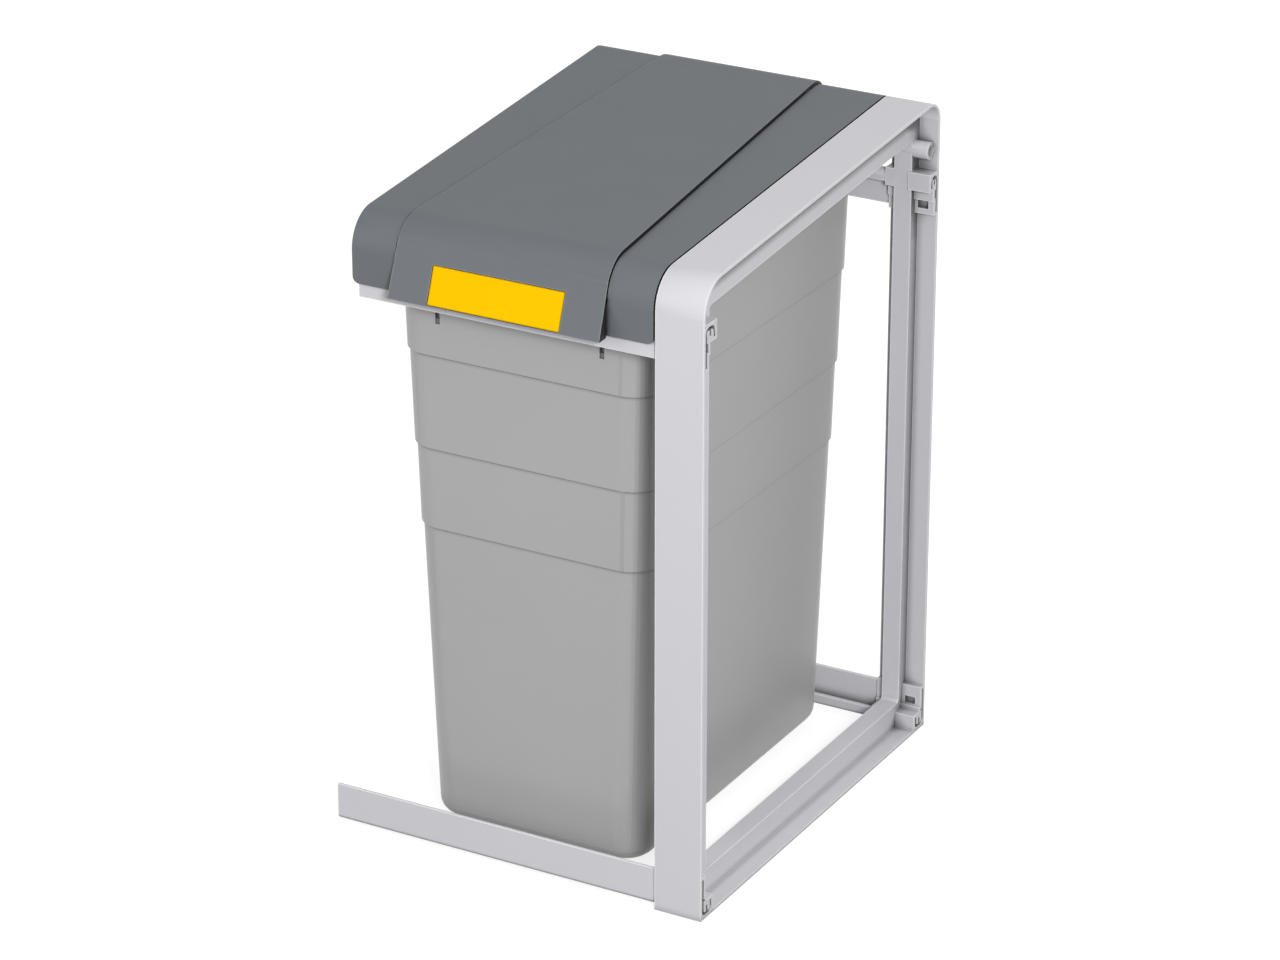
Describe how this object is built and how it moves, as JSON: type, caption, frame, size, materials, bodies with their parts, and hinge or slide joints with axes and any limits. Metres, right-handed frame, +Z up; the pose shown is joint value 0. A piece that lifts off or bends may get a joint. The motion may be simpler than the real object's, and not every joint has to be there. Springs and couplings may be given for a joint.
{
  "type": "waste sorting bin module",
  "caption": "Add-on module of a waste sorting row: a tapered bucket hung on crossbars under a hinged cover with a throw-in flap, with one ring-shaped side frame.",
  "frame": {"origin": "centre of the side frame's base face, on the floor", "axes": "+Z up, +X to the side frame's open sockets (the right), +Y to the rear, where the hinges are"},
  "size_m": [0.423, 0.514, 0.7043],
  "materials": {
    "frame_plastic": "light grey moulded plastic, fine satin grain",
    "cover_plastic": "dark grey moulded plastic, fine grain",
    "bucket_plastic": "mid grey moulded plastic, slightly grained",
    "label_plastic": "yellow plate, smooth, bare",
    "pin_steel": "drawn steel",
    "buffer_rubber": "black rubber"
  },
  "bodies": {
    "stand": {"side_frame": "frame_plastic", "front_lower_crossbar": "frame_plastic", "rear_lower_crossbar": "frame_plastic", "front_upper_crossbar": "frame_plastic", "rear_upper_crossbar": "frame_plastic"},
    "cover": {"cover": "cover_plastic", "right_cover_pin": "pin_steel", "left_cover_pin": "pin_steel", "right_flap_pin": "pin_steel", "left_flap_pin": "pin_steel", "cover_buffers": "buffer_rubber"},
    "flap": {"flap": "cover_plastic", "label_strip": "label_plastic"},
    "bucket": {"bucket": "bucket_plastic"},
    "bag_clamp": {"bag_clamp_frame": "bucket_plastic"}
  },
  "joints": [
    {"name": "cover_hinge", "type": "hinge", "parent": "stand", "child": "cover", "pos_m": [0, 0.2375, 0.648], "axis": [-1, 0, 0], "range_deg": [0, 85]},
    {"name": "flap_hinge", "type": "hinge", "parent": "cover", "child": "flap", "pos_m": [0, 0.2255, 0.67933], "axis": [-1, 0, 0], "range_deg": [0, 75]},
    {"name": "bucket_lift", "type": "slide", "parent": "stand", "child": "bucket", "axis": [0, 0, 1], "range_m": [0, 0.012]},
    {"name": "bag_clamp_lift", "type": "slide", "parent": "bucket", "child": "bag_clamp", "axis": [0, 0, 1], "range_m": [0, 0.008]}
  ]
}
